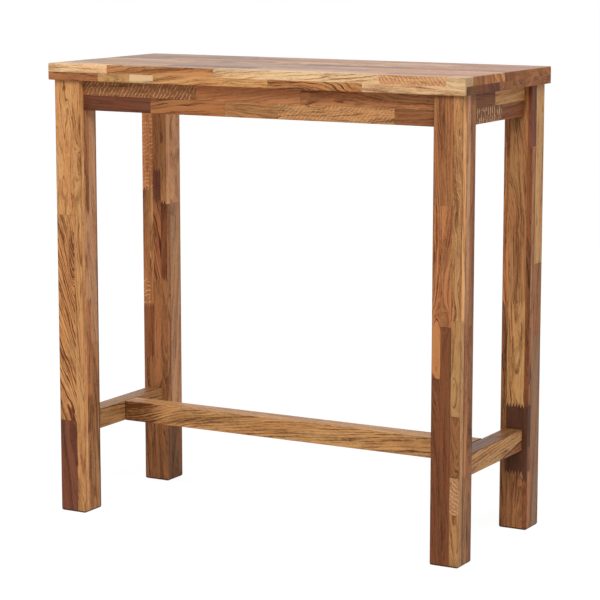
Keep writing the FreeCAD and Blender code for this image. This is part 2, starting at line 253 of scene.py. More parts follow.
# %% Lay the floor
floor_size = 240.0
paper_thickness = 0.0005
paper_colour = (0.8, 0.8, 0.8, 1.0)
white = (1.0, 1.0, 1.0, 1.0)
glow_share = 0.75
glow_strength = 1.2

paper = Network(bpy.data.materials.new("studio_paper"))
seen = seen_directly(paper)
matt = paper.node("ShaderNodeBsdfDiffuse", None, {"Color": paper_colour})
glow = paper.node("ShaderNodeEmission", None, {"Color": white, "Strength": glow_strength})
both = paper.node("ShaderNodeMixShader", None, {0: seen * glow_share, 1: matt, 2: glow})
paper.node("ShaderNodeOutputMaterial", None, {"Surface": both})

sheet = bmesh.new()
bmesh.ops.create_grid(sheet, x_segments=1, y_segments=1, size=floor_size / 2)
floor_mesh = bpy.data.meshes.new("studio_floor")
sheet.to_mesh(floor_mesh)
sheet.free()
floor_mesh.materials.append(paper.owner)
studio_floor = bpy.data.objects.new("studio_floor", floor_mesh)
studio_floor.location.z = -paper_thickness
bpy.context.scene.collection.objects.link(studio_floor)
print("floor", floor_size, "m wide")

# %% Hang the lamp
table_middle = Vector((0.0, 0.0, 0.7))
lamp_place = Vector((2.1, -3.9, 4.3))
lamp_side = 2.6
lamp_power = 225

light = bpy.data.lights.new("key_lamp", "AREA")
light.shape = "SQUARE"
light.size = lamp_side
light.energy = lamp_power
lamp = bpy.data.objects.new("key_lamp", light)
lamp.location = lamp_place
lamp.rotation_euler = (table_middle - lamp_place).to_track_quat("-Z", "Y").to_euler()
bpy.context.scene.collection.objects.link(lamp)
print("lamp", lamp_side, "m wide,", lamp_power, "W")

# %% Light the air around the table
air_strength = 0.5
backdrop_strength = 1.0

world = bpy.data.worlds.new("studio_air")
bpy.context.scene.world = world
air = Network(world)
dim = air.node("ShaderNodeBackground", None, {"Color": white, "Strength": air_strength})
bright = air.node("ShaderNodeBackground", None, {"Color": white, "Strength": backdrop_strength})
both = air.node("ShaderNodeMixShader", None, {0: seen_directly(air), 1: dim, 2: bright})
air.node("ShaderNodeOutputWorld", None, {"Surface": both})
bpy.context.scene.view_settings.view_transform = "Standard"
print("air strength", air_strength)

# %% [markdown]
# ## The boards
#
# The wood is one tropical hardwood, but its boards run from cream sapwood to plum heartwood.
# Each kind of board is written down once: its pale and its dark colour, how strong its rings are,
# how far the grain leans across it, how many pale flecks cross it, how strong its broad bands and
# its fine lines are, and how much all of them bend.
# A board on the table is then only the name of its kind.

# %% Write down the kinds of board
# kind: pale colour, dark colour, then the strength of rings, lean, flecks, bands, lines, bends
boards = {
    "cream": ((240, 204, 160), (184, 132, 86), 0.5, 0.02, 0.1, 0.5, 0.6, 0.5),
    "straw": ((236, 196, 150), (150, 100, 60), 0.6, 0.04, 0.2, 1.0, 0.9, 0.7),
    "honey": ((216, 162, 106), (128, 78, 42), 0.7, 0.03, 0.0, 0.95, 0.7, 0.6),
    "tan": ((220, 162, 106), (132, 76, 40), 0.8, 0.02, 0.0, 0.95, 0.7, 0.9),
    "contour": ((220, 162, 106), (134, 78, 42), 1.2, 0.02, 0.0, 0.35, 0.35, 1.5),
    "fleck": ((202, 148, 102), (126, 80, 48), 0.4, 0.02, 1.0, 0.7, 0.6, 0.6),
    "amber": ((200, 142, 92), (116, 68, 38), 0.8, 0.04, 0.0, 1.2, 0.85, 0.7),
    "lined": ((204, 152, 98), (100, 58, 30), 1.0, 0.03, 0.0, 0.6, 0.8, 0.22),
    "copper": ((190, 126, 78), (98, 54, 34), 0.7, 0.04, 0.0, 1.2, 0.9, 0.6),
    "slant": ((206, 146, 92), (96, 52, 30), 1.7, 0.34, 0.0, 0.6, 1.0, 0.8),
    "raked": ((186, 118, 76), (84, 46, 30), 1.3, 0.3, 0.0, 0.6, 1.0, 0.6),
    "chestnut": ((176, 116, 74), (92, 52, 32), 0.7, 0.04, 0.0, 0.8, 0.7, 0.6),
    "umber": ((154, 102, 64), (78, 46, 28), 0.8, 0.04, 0.0, 1.0, 0.7, 0.8),
    "ray": ((168, 110, 68), (94, 54, 32), 0.4, 0.02, 0.9, 0.7, 0.6, 0.5),
    "wavy": ((206, 150, 98), (112, 68, 38), 0.8, 0.06, 0.15, 1.1, 0.9, 1.2),
    "combed": ((204, 148, 96), (110, 66, 38), 0.8, 0.06, 0.6, 0.7, 0.9, 1.1),
    "plain": ((206, 136, 88), (140, 86, 54), 0.5, 0.02, 0.0, 0.5, 0.5, 0.4),
    "splash": ((140, 88, 54), (66, 38, 24), 0.4, 0.02, 2.2, 0.7, 0.6, 0.5),
    "walnut": ((138, 84, 52), (74, 40, 24), 0.5, 0.03, 0.0, 0.9, 0.6, 0.5),
    "plum": ((128, 76, 54), (72, 40, 28), 0.5, 0.02, 0.0, 0.9, 0.5, 0.5),
    "ebony": ((88, 54, 38), (50, 30, 22), 0.4, 0.02, 0.0, 0.6, 0.4, 0.5),
    "grey": ((194, 144, 106), (118, 78, 54), 0.6, 0.03, 0.1, 0.8, 0.6, 0.6),
}
kind_place = {kind: (index + 0.5) / len(boards) for index, kind in enumerate(boards)}
print(len(boards), "kinds of board")


def chart(column):
    """The stops of a stepped colour ramp, one for each kind of board."""
    return [(index / len(boards), column(row)) for index, row in enumerate(boards.values())]


# %% [markdown]
# ## Oiled wood
#
# A tree lays its rings around its middle, and a saw cuts a board out of them somewhere.
# So the rings are worked out in space: the distance from a trunk's middle, bent by soft noise.
# That one number is called the flow here. Everything long and thin in the wood follows it, so the
# ring lines, the fine lines and the broad bands bend together, as they do on a real board.
# Stretched noise alone would give streaks, but no arches, and no rings on the end grain.
# Each board has a trunk of its own, and its faces carry where in that trunk it was sawn.

# %% Read what the faces carry
X, Y, Z = 0, 1, 2


def sides_of(grain):
    """The two axes across the grain."""
    return [axis for axis in (X, Y, Z) if axis != grain]


def carried(wood, name):
    """Three numbers that the faces carry."""
    return wood.parts(wood.node(
        "ShaderNodeAttribute", {"attribute_type": "GEOMETRY", "attribute_name": name},
        None, "Vector"))


# %% Find the board that a point belongs to
finger_pitch = 7.5
glue_half_width = 0.22


def teeth(side):
    """The zigzag of a finger joint across a strip, from -1 to 1."""
    return abs((side / finger_pitch).remainder() - 0.5) * 4 - 1


def board_under(wood, grain):
    """The place of a point in its strip, and the board on its side of a finger joint."""
    place = wood.place()
    along, across, depth = [place[axis] for axis in (grain, *sides_of(grain))]
    # The third number of the board layer is painted shade, with a little dirt at joints
    near_kind, far_kind, painted_shade = carried(wood, "board")
    near_tone, far_tone, _ = carried(wood, "tone")
    joint, reach, _ = carried(wood, "joint")
    across_low, across_high, _ = carried(wood, "across")
    depth_low, depth_high, _ = carried(wood, "depth")

    # A reach below zero stands for teeth that are cut over the depth
    turned = reach < 0
    teeth_height = teeth(across) * (1 - turned) + teeth(depth) * turned
    from_joint = along - joint - teeth_height * abs(reach)
    beyond = from_joint > 0

    def own(near, far):
        """A number of the board itself, from before or beyond the joint."""
        return near + (far - near) * beyond

    aside, behind, tilt = map(own, carried(wood, "trunk"), carried(wood, "trunk_beyond"))
    ring_width, shift, rays = map(own, carried(wood, "growth"), carried(wood, "growth_beyond"))
    seam = (across - across_low).lowest(across_high - across)
    seam = seam.lowest(depth - depth_low).lowest(depth_high - depth).lowest(abs(from_joint))
    return SimpleNamespace(
        along=along, across=across, painted_shade=painted_shade,
        aside=aside, behind=behind, tilt=tilt, ring_width=ring_width, shift=shift, rays=rays,
        side_a=across - (across_low + across_high) * 0.5,
        side_b=depth - (depth_low + depth_high) * 0.5,
        kind=own(near_kind, far_kind),
        level=1 + own(near_tone, far_tone),
        glue=seam.rise(glue_half_width * 0.6, glue_half_width * 1.6, 1.0, 0.0),
    )


print("glue lines are", glue_half_width * 2, "mm wide")

# %% [markdown]
# The chart of boards becomes four stepped colour ramps, which the number of the kind looks up.
# Two of them hold the pale and the dark colours. The other two hold the strengths of the figure,
# three at a time, because a ramp gives a colour and a colour is three numbers.

# %% Look the board up in the chart
def looked_up(wood, kind, column):
    """A colour of the chart, or three of its strengths in the place of one."""
    return wood.node(
        "ShaderNodeValToRGB", {"stepped": True, "stops": chart(column)}, {"Fac": kind})


def strengths_of(wood, kind):
    """How strong each part of the figure is on this kind of board."""
    rings, lean, flecks = wood.parts(looked_up(wood, kind, lambda row: (*row[2:5], 1)))
    bands, lines, bends = wood.parts(looked_up(wood, kind, lambda row: (*row[5:8], 1)))
    return SimpleNamespace(
        rings=rings, lean=lean, flecks=flecks, bands=bands, lines=lines, bends=bends)


# %% Grow the trunk around the board
piece_middle = {X: 0.0, Y: 0.0, Z: 530.0}
# The size of each bend along and across the grain, and how far it pushes the rings
ring_bends = (((190, 40, 40), 36), ((55, 13, 13), 8))


def trunk_flow(wood, spot, grain, strength):
    """The distance from the trunk's middle in millimetres, bent as real rings are."""
    length = spot.along + spot.shift
    from_middle = spot.along - piece_middle[grain]
    leaned = spot.side_a + strength.lean * from_middle
    off_a = leaned + spot.aside
    off_b = spot.side_b + spot.behind + spot.tilt * from_middle
    flow = (off_a * off_a + off_b * off_b).square_root()
    for size, push in ring_bends:
        bend = wood.noise((length, leaned, spot.side_b), size) - 0.5
        flow = flow + bend * push * strength.bends
    return length, leaned, flow


# %% Push the rings aside around a knot
knot_swell = 22.0


def around_knot(wood, spot, flow):
    """The flow around a knot, and how much paler or darker the wood is there."""
    place, side, size = carried(wood, "knot")
    shade, stretch, _ = carried(wood, "knot_shape")
    up = (spot.along - place) / (size * stretch)
    aside = (spot.across - side) / size
    away = up * up + aside * aside
    flow = flow + knot_swell / (1 + away * away)
    return flow, away.rise(0.2, 1.0, 1.0, 0.0) * shade


# %% [markdown]
# Ray flecks are the pale dashes that cross the grain where a board is cut through its rays.
# They run side by side like a hatch, so they are a row of thin stripes, broken up by noise.
# Each board brings how steeply its hatch crosses the grain.

# %% Hatch the ray flecks
ray_pitch = 10.0
ray_waver = 15
waver_size, dash_size = (26, 12, 12), (9, 13, 1)
ray_width, ray_widening = 0.05, 0.16


def ray_flecks(wood, spot, leaned):
    """A mask of broken stripes, 1 where a ray shows."""
    waver = wood.noise((spot.along, leaned, spot.side_b), waver_size)
    side = leaned + spot.side_b
    hatch = ((spot.along + side * spot.rays + waver * ray_waver) / ray_pitch).remainder()
    width = wood.noise((spot.along, side, spot.shift), dash_size).rise(0.34, 0.68)
    stripe = abs(hatch - 0.5).rise(0.02, ray_width + width * ray_widening, 1.0, 0.0)
    return stripe * width.rise(0.0, 0.35)


# %% [markdown]
# The rest of the figure is noise that is drawn out along the grain. Lines, veins and bands are
# drawn over the flow, so they bend with the rings. Pores and fibres are short and fine, and a slow
# change of hue runs under them all.

# %% Draw the figure
# Sizes along the grain, and twice across it
line_size, vein_size, band_size = (55, 1.5, 25), (90, 2.6, 24), (300, 11, 50)
hue_size, pore_size, fibre_size = (190, 20, 20), (6, 0.5, 0.5), (13, 1.2, 1.2)


def late_wood(wood, spot, flow):
    """The dark end of each ring: slow to darken, quick to turn pale again, of random strength."""
    rings = flow / spot.ring_width
    turn = rings.remainder()
    chance = wood.node(
        "ShaderNodeTexWhiteNoise", {"noise_dimensions": "1D"},
        {"W": rings.round_down() + spot.shift}, "Value")
    return turn.rise(0.55, 0.9) * turn.rise(0.93, 1.0, 1.0, 0.2) * (chance * 0.8 + 0.2)


def figure_of(wood, spot, strength, grain):
    """All that shows on a board: masks from 0 to 1, and lines, bands and fibres around 0."""
    length, leaned, flow = trunk_flow(wood, spot, grain, strength)
    flow, knot_shade = around_knot(wood, spot, flow)
    bent, straight = (length, flow, leaned), (length, leaned, spot.side_b)
    facing = wood.facing()
    end_grain = abs(facing[grain]).rise(0.6, 0.8)
    return SimpleNamespace(
        late=late_wood(wood, spot, flow),
        line=wood.noise(bent, line_size, 3, 0.62) - 0.5,
        vein=wood.noise(bent, vein_size, 1).rise(0.56, 0.68),
        band=wood.noise(bent, band_size, 2, 0.6) - 0.5,
        hue=wood.noise(straight, hue_size, 1).rise(0.35, 0.65),
        pore=wood.noise(straight, pore_size, 0).rise(0.6, 0.74),
        fibre=wood.noise(straight, fibre_size, 3, 0.65) - 0.5,
        fleck=ray_flecks(wood, spot, leaned) * strength.flecks * (1 - end_grain),
        knot=knot_shade, end_grain=end_grain, level_face=facing[Z].rise(0.7, 0.9),
    )


# %% [markdown]
# Oil deepens the colour and leaves a soft shine, a little more of it on faces that look up. Each
# part of the figure could have a colour of its own, but those would have to be matched by hand.
# So all the parts add up to one shade, which mixes the pale and the dark colour of the board.
# End grain, ray flecks, glue lines, and painted shade with a little dirt, then go over it.

# %% Mix the oiled wood
end_brown, ray_cream, glue_and_shade_dark = srgb(92, 58, 40), srgb(240, 198, 152), srgb(34, 20, 14)
warm_tint, cool_tint = (1.0, 0.89, 0.8, 1), (1.0, 1.04, 1.0, 1)
tint_share, end_share, ray_share, glue_share = 0.7, 0.2, 0.6, 0.45
oil_roughness, oil_reflection, coat_roughness = 0.46, 0.1, 0.28
base_shade, ring_shade, band_shade, line_shade = 0.15, 0.7, 2.6, 2.3
vein_shade, pore_shade, fibre_shade = 0.5, 0.25, 1.7
shade_rough, pore_rough, end_rough = 0.08, 0.12, 0.1
pore_dip, line_dip, ring_dip, glue_dip = 0.7, 0.4, 0.2, 1.2
relief_depth, relief_strength = 0.00012, 0.6


def oiled_wood(name, grain, coat):
    """The finish of glued-up boards whose grain runs along one axis."""
    wood = Finish(bpy.data.materials.new(name))
    spot = board_under(wood, grain)
    strength = strengths_of(wood, spot.kind)
    figure = figure_of(wood, spot, strength, grain)

    # From 0, the pale colour, to 1, the dark one
    shade = base_shade + figure.late * strength.rings * ring_shade
    shade = shade + figure.band * strength.bands * band_shade
    shade = shade + figure.line * strength.lines * line_shade
    shade = shade + figure.vein * strength.lines * vein_shade
    shade = shade + figure.pore * pore_shade + figure.fibre * fibre_shade + figure.knot
    pale = looked_up(wood, spot.kind, lambda row: srgb(*row[0]))
    dark = looked_up(wood, spot.kind, lambda row: srgb(*row[1]))
    tint = wood.blend(figure.hue, warm_tint, cool_tint)
    glint = wood.blend(1.0, ray_cream, wood.grey(spot.level.square_root()), "MULTIPLY")

    colour = wood.blend(shade, pale, dark)
    colour = wood.blend(tint_share, colour, tint, "MULTIPLY")
    colour = wood.blend(figure.end_grain * end_share, colour, end_brown)
    colour = wood.blend(1.0, colour, wood.grey(spot.level), "MULTIPLY")
    colour = wood.blend(figure.fleck * ray_share, colour, glint)
    # Glue lines, and painted shade at joints, feet and arrises, darken towards one brown
    colour = wood.blend((spot.glue * glue_share).highest(spot.painted_shade), colour, glue_and_shade_dark)

    height = figure.pore * -pore_dip + figure.line * -line_dip
    height = height + figure.late * -ring_dip + spot.glue * -glue_dip
    return wood.surface(
        Base_Color=colour,
        Roughness=(oil_roughness + shade * shade_rough + figure.pore * pore_rough
                   + figure.end_grain * end_rough),
        Specular_IOR_Level=oil_reflection,
        Coat_Weight=figure.level_face * coat,
        Coat_Roughness=coat_roughness,
        Normal=wood.bump(height, relief_depth, relief_strength),
    )


top_coat = 0.36
frame_coat = 0.2
oiled = {axis: oiled_wood("oiled_frame_along_" + "xyz"[axis], axis, frame_coat)
         for axis in (X, Y, Z)}
oiled_top = oiled_wood("oiled_top", X, top_coat)
print("oiled wood along", sorted(oiled))

# %% [markdown]
# ## From a plank to a glued-up piece
#
# Each piece starts as a cube, stretched to the size that the CAD gives its node.
# The arrises are rounded with a bevel, and pockets are cut with a boolean, as a router would.
# Last, flat saw cuts divide its faces into strips and boards. The cuts don't change the shape.
# They only let every face carry the board that it belongs to: its kind, its tone, its trunk and
# the finger joint at its end. Painting the same on UV maps would take far more work.
# A few narrow faces carry painted shade too: the arrises turned from the lamp, the round under
# each foot, and the edge of a joint, where it draws the gap's shadow with a little dirt.

# %% Cut a plank to size and ease its edges
touch = 1e-5


def plank(low, high):
    """A box between two corners."""
    shape = bmesh.new()
    bmesh.ops.create_cube(shape, size=1.0)
    bmesh.ops.scale(shape, vec=high - low, verts=shape.verts)
    bmesh.ops.translate(shape, vec=(high + low) / 2, verts=shape.verts)
    return shape


def along_axis(edge, axis):
    """True for an edge that runs along an axis."""
    run = edge.verts[1].co - edge.verts[0].co
    return abs(run[axis]) > 0.99 * run.length


def edges_at(shape, axis, level):
    """The edges that lie in one plane, at a level of an axis."""
    return [edge for edge in shape.edges
            if all(abs(vert.co[axis] - level) < touch for vert in edge.verts)]


def long_edges(shape, grain):
    """The edges that stay at one corner of a piece along its grain, also over its eased ends."""
    middle = sum((vert.co for vert in shape.verts), Vector()) / len(shape.verts)

    def corner(vert):
        return [vert.co[side] > middle[side] for side in sides_of(grain)]
    return [edge for edge in shape.edges if corner(edge.verts[0]) == corner(edge.verts[1])]


def ease(shape, edges, radius, segments):
    """Round or bevel some edges of a plank."""
    bmesh.ops.bevel(
        shape, geom=edges, offset=radius, offset_type="OFFSET", affect="EDGES",
        segments=segments, profile=0.5, material=-1)


# %% Cut pockets with a boolean
def mesh_object(name, shape):
    """A bmesh as an object in the scene."""
    mesh = bpy.data.meshes.new(name)
    shape.to_mesh(mesh)
    shape.free()
    piece = bpy.data.objects.new(name, mesh)
    bpy.context.scene.collection.objects.link(piece)
    return piece


def route(shape, cutters):
    """The plank with the boxes of some cutters taken away."""
    tools = bmesh.new()
    for cutter in cutters:
        held = bpy.data.meshes.new("cutter")
        cutter.to_mesh(held)
        cutter.free()
        tools.from_mesh(held)
        bpy.data.meshes.remove(held)
    plank_object = mesh_object("plank", shape)
    tool_object = mesh_object("tools", tools)
    cut = plank_object.modifiers.new("route", "BOOLEAN")
    cut.operation = "DIFFERENCE"
    cut.solver = "EXACT"
    cut.object = tool_object
    bpy.context.view_layer.update()
    cut_mesh = bpy.data.meshes.new_from_object(
        plank_object.evaluated_get(bpy.context.evaluated_depsgraph_get()))
    routed = bmesh.new()
    routed.from_mesh(cut_mesh)
    for leftover in (plank_object, tool_object):
        old = leftover.data
        bpy.data.objects.remove(leftover)
        bpy.data.meshes.remove(old)
    bpy.data.meshes.remove(cut_mesh)
    return routed


# %% Describe a strip
far_away = 1e5


class Strip:
    """A glued-in strip: its place across the piece in millimetres, and its boards end to end.

    A board is its kind and where it ends, and may add its tone and numbers of its own trunk.
    """

    def __init__(self, across, depth, run, knot=(far_away, 0, 10), knot_shape=(0, 3)):
        self.across = across
        self.depth = depth
        self.run = run
        self.knot = knot
        self.knot_shape = knot_shape

    def distance(self, a, b):
        """How far outside the strip a point is, across the piece."""
        gap_a = max(self.across[0] - a, a - self.across[1], 0)
        gap_b = max(self.depth[0] - b, b - self.depth[1], 0)
        return math.hypot(gap_a, gap_b)


def strip_under(face, strips, grain):
    """The strip that a face belongs to."""
    a, b = [face.calc_center_median()[side] * mm for side in sides_of(grain)]
    return min(strips, key=lambda strip: strip.distance(a, b))


# %% Saw the faces between strips and beside joints
joint_band = 8.0
joint_shadow = 3.0
at_surface = 1.0


def saw(shape, axis, place, faces):
    """One flat cut through some faces, across an axis, at a place in millimetres."""
    edges = {edge for face in faces for edge in face.edges}
    verts = {vert for face in faces for vert in face.verts}
    point, normal = Vector(), Vector()
    point[axis] = place / mm
    normal[axis] = 1
    bmesh.ops.bisect_plane(
        shape, geom=[*faces, *edges, *verts], dist=1e-6, plane_co=point, plane_no=normal)


def saw_into_boards(shape, grain, strips, lows, highs, dark_ends):
    """Cuts between the strips, on both sides of every finger joint, and near dark ends."""
    for side, key in zip(sides_of(grain), ("across", "depth")):
        for cut in sorted({end for strip in strips for end in getattr(strip, key)}):
            if lows[side] + at_surface < cut < highs[side] - at_surface:
                saw(shape, side, cut, shape.faces[:])
    for strip in strips:
        for _, end, *_ in strip.run[:-1]:
            for cut in (end - joint_band, end + joint_band):
                saw(shape, grain, cut, [face for face in shape.faces
                                        if strip_under(face, strips, grain) is strip])
    if dark_ends:
        for cut in (lows[grain] + joint_shadow, highs[grain] - joint_shadow):
            saw(shape, grain, cut, shape.faces[:])


# %% Choose the trunk, the joint and the painted shade of a face
outside = 5.0
# How dark the painted shade is at a joint's edge, on a foot's round and on an arris
joint_shade_and_dirt, foot_contact_shade, arris_shade = 0.95, 0.8, 0.45


def trunk_numbers(board, chance):
    """Where in its trunk a board was sawn, and how that trunk grew. A board may bring its own."""
    drawn = {
        "aside": chance.uniform(-95, 95), "behind": chance.uniform(22, 92),
        "tilt": chance.uniform(-0.12, 0.12), "ring_width": chance.uniform(4.2, 8.2),
        "shift": chance.uniform(0, 5000),
        "rays": chance.uniform(0.4, 0.8) * chance.choice((-1, 1)),
    }
    return {**drawn, **(board[3] if len(board) > 3 else {})}


def boards_at(strip, place):
    """The numbers of the board there and of the one beyond the joint, and where that joint is."""
    for index, (_, end, *_) in enumerate(strip.run[:-1]):
        if place < end + joint_band:
            in_joint = place > end - joint_band
            return (index, index + 1, end) if in_joint else (index, index, far_away)
    return len(strip.run) - 1, len(strip.run) - 1, far_away


def strip_edges(low_high, lowest, highest):
    """Both edges of a strip. One on the surface is moved outside, where no glue line shows."""
    low, high = low_high
    return (low - outside if low < lowest + at_surface else low,
            high + outside if high > highest - at_surface else high, 0)


def painted_shade_of(normal, grain, from_end, dark_ends):
    """Painted shade on a joint's edge (with some dirt), a foot's round, or an arris away from the
    lamp.
    """
    # A joint's edge: painted shadow of the gap, with a little dirt
    if dark_ends and from_end < joint_shadow and abs(normal[grain]) < 0.95:
        return joint_shade_and_dirt
    # A foot's round, facing down: painted contact shadow
    if grain == Z and -0.99 < normal.z < -0.1:
        return foot_contact_shade
    # An arris of a leg: painted shade, left off the front right arris, which faces the lamp
    if grain == Z and max(abs(part) for part in normal) < 0.97 and not normal.x > 0 > normal.y:
        return arris_shade
    return 0.0


# %% Glue up a piece
finger_reach = 6.0
face_numbers = ("board", "tone", "joint", "across", "depth", "knot", "knot_shape",
                "trunk", "trunk_beyond", "growth", "growth_beyond")


def glue_up(shape, name, grain, strips, fingers, dark_ends=False):
    """Divide a plank into its strips and boards, and give every face its board."""
    side_a, side_b = sides_of(grain)
    chance = random.Random(name)
    trunks = {id(strip): [trunk_numbers(board, chance) for board in strip.run]
              for strip in strips}
    shape.normal_update()
    lows = [min(vert.co[axis] for vert in shape.verts) * mm for axis in (X, Y, Z)]
    highs = [max(vert.co[axis] for vert in shape.verts) * mm for axis in (X, Y, Z)]
    saw_into_boards(shape, grain, strips, lows, highs, dark_ends)
    layers = {key: shape.faces.layers.float_vector.new(key) for key in face_numbers}
    reach = finger_reach if fingers == side_a else -finger_reach

    for face in shape.faces:
        strip = strip_under(face, strips, grain)
        place = face.calc_center_median()[grain] * mm
        near, far, joint = boards_at(strip, place)
        kinds = [kind_place[board[0]] for board in strip.run]
        tones = [board[2] if len(board) > 2 else 0.0 for board in strip.run]
        from_end = min(place - lows[grain], highs[grain] - place)
        numbers = {
            "board": (kinds[near], kinds[far], painted_shade_of(face.normal, grain, from_end, dark_ends)),
            "tone": (tones[near], tones[far], 0),
            "joint": (joint, reach, 0),
            "across": strip_edges(strip.across, lows[side_a], highs[side_a]),
            "depth": strip_edges(strip.depth, lows[side_b], highs[side_b]),
            "knot": strip.knot,
            "knot_shape": (*strip.knot_shape, 0),
        }
        for ending, index in (("", near), ("_beyond", far)):
            trunk = trunks[id(strip)][index]
            numbers["trunk" + ending] = [trunk[key] for key in ("aside", "behind", "tilt")]
            numbers["growth" + ending] = [trunk[key] for key in ("ring_width", "shift", "rays")]
        for key, three in numbers.items():
            face[layers[key]] = Vector(three)
    return shape


# %% Finish a piece, and lay out boards that nobody sees
sharp_angle = math.radians(40)
shortest_board, longest_board = 140, 420
spare_spread = 0.3


def finish_piece(shape, name, node, wood):
    """Make the piece an object with its wood, and let it stand for its CAD node."""
    piece = mesh_object(name, shape)
    piece.data.shade_smooth()
    piece.data.set_sharp_from_angle(angle=sharp_angle)
    piece.data.materials.append(wood)
    weigh = piece.modifiers.new("flat_faces_stay_flat", "WEIGHTED_NORMAL")
    weigh.keep_sharp = True
    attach(piece, "root")
    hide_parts(node)
    print(name, len(piece.data.polygons), "faces")


def spare(name, start, end, choice, lift=0.0):
    """A run of boards for a strip that the photograph doesn't show."""
    chance = random.Random(name)
    run, place, last = [], start, None
    while place < end:
        place += chance.uniform(shortest_board, longest_board)
        if place > end - shortest_board:
            place = end
        last = chance.choice([kind for kind in choice if kind != last])
        run.append((last, place, lift + chance.uniform(-spare_spread, spare_spread)))
    return run


# %% [markdown]
# ## The top
#
# The top is two boards thick, and the two layers show as two rows along its edges.
# The joints of one layer don't fall over those of the other, which makes the top stiff.
# It could be made of loose boards, but then every seam would be a thin gap that catches light.
# One sawn plank for each layer stays flat and closed, and its seams are part of the finish.
# The front row is laid out board by board as on the real table, and so are the boards that end
# at its right side. A seeded random draw lays out the rest in the same tones.

# %% Lay out the boards of the top
mixed = ["honey", "amber", "copper", "chestnut", "grey", "umber", "tan", "wavy", "ray"]
muted = ["grey", "amber", "chestnut", "umber", "lined", "fleck", "walnut"]

upper_rows = {
    (-235, -195): [("straw", -379, 0.02), ("amber", -86, -0.1), ("straw", 342, -0.12),
                   ("fleck", 505, -0.07, {"rays": 0.7}), ("cream", 550, -0.28)],
    (-195, -136): spare("upper 2", -550, 330, muted, -0.07) + [("umber", 550, 0.27)],
    (-136, -82): spare("upper 3", -550, 260, muted, -0.06) + [("chestnut", 550, 0.44)],
    (-82, -27): spare("upper 4", -550, 380, muted, -0.06) + [("amber", 550, 0.32)],
    (-27, 30): spare("upper 5", -550, 300, muted, 0.08) + [("walnut", 550, 0.38)],
    (30, 98): spare("upper 6", -550, 240, muted, 0.08) + [("ray", 550, 0.1)],
    (98, 166): spare("upper 7", -550, 350, muted, 0.08) + [("chestnut", 550, 0.1)],
    (166, 235): spare("upper 8", -550, 200, muted, -0.06) + [("chestnut", 550, 0.1)],
}
lower_rows = {
    (-235, -229): [("chestnut", -405, -0.07), ("honey", -316, -0.24), ("straw", -250, -0.2),
                   ("honey", -60, -0.08), ("honey", 58, -0.05), ("slant", 299, -0.22),
                   ("straw", 550, -0.24)],
    (-229, -163): spare("lower 1", -550, 299, mixed) + [("umber", 550, -0.3)],
    (-163, -109): spare("lower 2", -550, 300, mixed) + [("plum", 550, 0.05)],
    (-109, -55): spare("lower 3", -550, 240, mixed) + [("plum", 550, -0.15)],
    (-55, 18): spare("lower 4", -550, 330, mixed) + [("umber", 550, 0.3)],
    (18, 90): spare("lower 5", -550, 280, mixed) + [("umber", 550, 0.32)],
    (90, 162): spare("lower 6", -550, 350, mixed) + [("chestnut", 550, 0.08)],
    (162, 235): spare("lower 7", -550, 260, mixed) + [("umber", 550, 0.3)],
}
print(sum(len(run) for rows in (upper_rows, lower_rows) for run in rows.values()), "boards")

# %% Glue up the two layers
edge_round = 0.0025
edge_steps = 4


def make_layer(node, rows, rounded_level):
    """One layer of the top. Its upright edges and those at one level are rounded."""
    low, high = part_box(node)
    shape = plank(low, high)
    rim = edges_at(shape, Z, rounded_level)
    eased = [edge for edge in shape.edges if along_axis(edge, Z) or edge in rim]
    ease(shape, eased, edge_round, edge_steps)
    depth = (low.z * mm, high.z * mm)
    strips = [Strip(across, depth, run) for across, run in rows.items()]
    glue_up(shape, node, X, strips, Y)
    finish_piece(shape, node.replace("top_", "glued_"), node, oiled_top)


make_layer("top_upper_layer", upper_rows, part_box("top_upper_layer")[1].z)
make_layer("top_lower_layer", lower_rows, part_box("top_lower_layer")[0].z)

# %% [markdown]
# ## The legs
#
# A leg is four or more strips, glued side by side, and most strips are two or three boards long.
# The foot has a small round all the way, so that it doesn't splinter when the table is dragged.
# The inner corner is cut flat near the top, where a steel bracket pulls the leg home. A bevel
# would make that flat over the leg's whole length, so a boolean with a turned bar cuts it.
# Some boards show arches, where the saw ran near the middle of the trunk. They are written with
# the height at which the arches turn over.

# %% Shape the legs
leg_round = 0.0015
foot_round = 0.0045
leg_steps = 3
bolt_flat_width = 0.016
bar_side = 0.05
apron_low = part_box("apron_front")[0]


def leg_shape(node):
    """A square leg with its foot eased first, then its arrises, and a flat for the bolt."""
    low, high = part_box(node)
    shape = plank(low, high)
    ease(shape, edges_at(shape, Z, low.z), foot_round, leg_steps)
    ease(shape, long_edges(shape, Z), leg_round, leg_steps)

    # A square bar, turned by 45 degrees, planes the flat for the bolt
    centre = (low + high) / 2
    inner = Vector((low.x if centre.x > 0 else high.x, low.y if centre.y > 0 else high.y, 0))
    inward = Vector((centre.x - inner.x, centre.y - inner.y, 0)).normalized()
    middle = inner + inward * (bolt_flat_width / 2 - bar_side / 2)
    cutter = plank(Vector((-bar_side / 2, -bar_side / 2, apron_low.z)),
                   Vector((bar_side / 2, bar_side / 2, high.z + bar_side)))
    bmesh.ops.rotate(cutter, verts=cutter.verts, cent=(0, 0, 0),
                     matrix=Matrix.Rotation(math.radians(45), 3, "Z"))
    bmesh.ops.translate(cutter, verts=cutter.verts, vec=(middle.x, middle.y, 0))
    return route(shape, [cutter])


# %% Lay out the front legs
def arch(foot, aside=0.0, slope=0.1, ring_width=4.4):
    """A board sawn so that its rings stand as arches over a height, or hang as a V under it."""
    return {"aside": aside, "behind": slope * (piece_middle[Z] - foot), "tilt": slope,
            "ring_width": ring_width}


